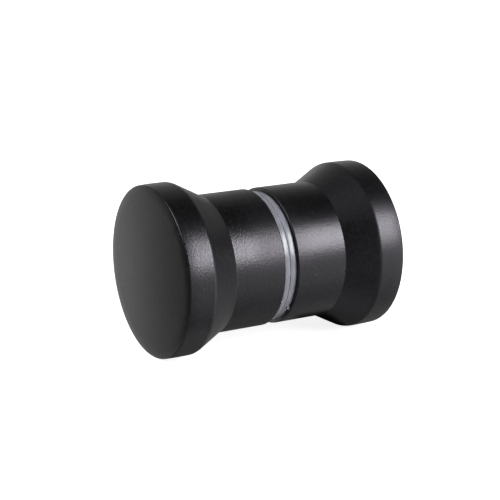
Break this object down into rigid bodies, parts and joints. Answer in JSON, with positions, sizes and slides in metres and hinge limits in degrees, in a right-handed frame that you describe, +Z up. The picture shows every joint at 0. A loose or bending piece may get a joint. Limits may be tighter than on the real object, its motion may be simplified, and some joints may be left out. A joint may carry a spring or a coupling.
{
  "type": "shower door handle",
  "caption": "Back-to-back pull knob for a glass shower door: flared satin black knobs drawn together on a threaded stud, with clear washers that grip the glass.",
  "frame": {"origin": "on the stud's axis, midway between the two washers, where the middle of the glass goes", "axes": "+Y along the stud from the outside knob to the inside knob, square to the glass; +Z up on an upright door; +X along the door"},
  "size_m": [0.03, 0.0424, 0.03],
  "materials": {
    "black_coat": "satin black powder coat on turned metal",
    "clear_plastic": "clear soft plastic, slightly milky",
    "plated_steel": "bright plated steel thread"
  },
  "bodies": {
    "root": {"outside_knob": "black_coat", "inside_knob": "black_coat", "outside_washer": "clear_plastic", "inside_washer": "clear_plastic", "joining_stud": "plated_steel", "hole_bush": "clear_plastic"}
  },
  "joints": []
}
